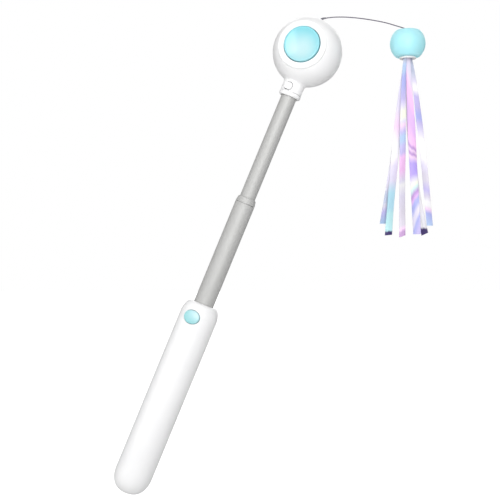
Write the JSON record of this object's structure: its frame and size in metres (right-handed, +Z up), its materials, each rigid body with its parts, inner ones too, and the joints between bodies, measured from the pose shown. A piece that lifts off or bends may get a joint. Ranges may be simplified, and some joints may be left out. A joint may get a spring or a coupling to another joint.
{
  "type": "telescopic cat teaser wand",
  "caption": "Cat teaser wand: slim handle with thumb release, telescopic rod, ball head with a dished button, and a spring wire that carries a bead with film ribbons.",
  "frame": {"origin": "grip point on the wand's axis, 75 mm above the butt, where the hand closes on the handle", "axes": "+Z up with the toy hanging down, +X to the side the wand leans to, -Y towards the viewer; the wand's axis leans 22.4 degrees from +Z to +X"},
  "size_m": [0.2388, 0.0499, 0.3567],
  "materials": {
    "white_shell": "satin white ABS",
    "turquoise_shell": "satin pale turquoise ABS",
    "grey_tube": "light grey satin lacquer on thin tube",
    "white_bearing": "natural white acetal",
    "black_rubber": "matte black",
    "black_plastic": "matte black",
    "spring_steel": "dark drawn spring wire",
    "plated_steel": "bright zinc plate",
    "board_green": "green solder mask on glass epoxy",
    "cell_wrap": "blue shrink wrap on a pouch cell",
    "iridescent_film": "iridescent metallised film, pink to cyan"
  },
  "bodies": {
    "handle": {"handle_front_shell": "white_shell", "handle_rear_shell": "white_shell", "rod_guide_bush": "white_bearing", "handle_screw_1": "plated_steel", "handle_screw_2": "plated_steel", "handle_screw_3": "plated_steel", "lever_pin": "plated_steel", "lever_spring": "plated_steel"},
    "release_button": {"release_button": "turquoise_shell"},
    "lock_lever": {"lock_lever": "white_bearing", "brake_pad": "black_rubber"},
    "outer_rod": {"outer_tube": "grey_tube", "outer_tube_collar": "grey_tube", "outer_tube_foot": "white_bearing"},
    "head_rod": {"inner_tube": "grey_tube", "inner_tube_foot": "white_bearing", "inner_drag_ring": "black_rubber", "inner_tube_plug": "white_bearing", "snap_spring": "plated_steel", "head_front_shell": "white_shell", "head_rear_shell": "white_shell", "neck_collar": "white_shell", "bezel_ring": "white_shell", "switch_body": "black_plastic", "button_spring": "plated_steel", "control_board": "board_green", "chassis": "white_bearing", "motor": "plated_steel", "gearbox": "plated_steel", "battery": "cell_wrap", "charge_board": "board_green", "charge_socket": "plated_steel", "head_screw_1": "plated_steel", "head_screw_2": "plated_steel", "head_screw_3": "plated_steel", "head_screw_4": "plated_steel"},
    "snap_button": {"snap_button": "white_shell"},
    "head_button": {"head_button": "turquoise_shell", "switch_plunger": "turquoise_shell"},
    "drive": {"drive_shaft": "plated_steel", "drive_hub": "white_shell", "wire_sleeve": "black_rubber", "teaser_wire": "spring_steel", "wire_end_ball": "plated_steel"},
    "swivel": {"toy_swivel": "plated_steel"},
    "toy": {"bead": "turquoise_shell", "bead_insert": "white_shell", "ribbon_1": "iridescent_film", "ribbon_2": "iridescent_film", "ribbon_3": "iridescent_film", "ribbon_4": "iridescent_film", "ribbon_5": "iridescent_film", "ribbon_6": "iridescent_film"}
  },
  "joints": [
    {"name": "outer_slide", "type": "slide", "parent": "handle", "child": "outer_rod", "axis": [-0.3811, 0, -0.9245], "range_m": [0, 0.08]},
    {"name": "inner_slide", "type": "slide", "parent": "outer_rod", "child": "head_rod", "axis": [-0.3811, 0, -0.9245], "range_m": [0, 0.08]},
    {"name": "release_press", "type": "slide", "parent": "handle", "child": "release_button", "axis": [0.2703, 0.9563, -0.1114], "range_m": [0, 0.001], "stiffness_N_per_m": 1500, "springref_m": -0.001},
    {"name": "lever_rock", "type": "hinge", "parent": "handle", "child": "lock_lever", "pos_m": [0.01815, -0.0098, 0.0519], "axis": [0.8841, -0.2924, -0.3644], "range_deg": [-6, 0], "deforming": ["lever_spring"]},
    {"name": "snap_press", "type": "slide", "parent": "head_rod", "child": "snap_button", "axis": [0.4197, 0.891, -0.173], "range_m": [0, 0.0028], "stiffness_N_per_m": 800, "springref_m": -0.001, "deforming": ["snap_spring"]},
    {"name": "head_button_press", "type": "slide", "parent": "head_rod", "child": "head_button", "axis": [0.2703, 0.9563, -0.1114], "range_m": [0, 0.0008], "stiffness_N_per_m": 2000, "springref_m": -0.0005, "deforming": ["button_spring"]},
    {"name": "wire_spin", "type": "hinge", "parent": "head_rod", "child": "drive", "pos_m": [0.10651, 0, 0.25841], "axis": [0.3811, 0, 0.9245], "continuous": true},
    {"name": "toy_swing", "type": "hinge", "parent": "drive", "child": "swivel", "pos_m": [0.18152, 0, 0.27165], "axis": [0, 1, 0], "range_deg": [-35, 10]},
    {"name": "toy_twist", "type": "hinge", "parent": "swivel", "child": "toy", "pos_m": [0.18152, 0, 0.27165], "axis": [0, 0, 1], "continuous": true}
  ],
  "couplings": [
    {"joint": "lever_rock", "follows": "release_press", "rad_per_m": -100}
  ]
}
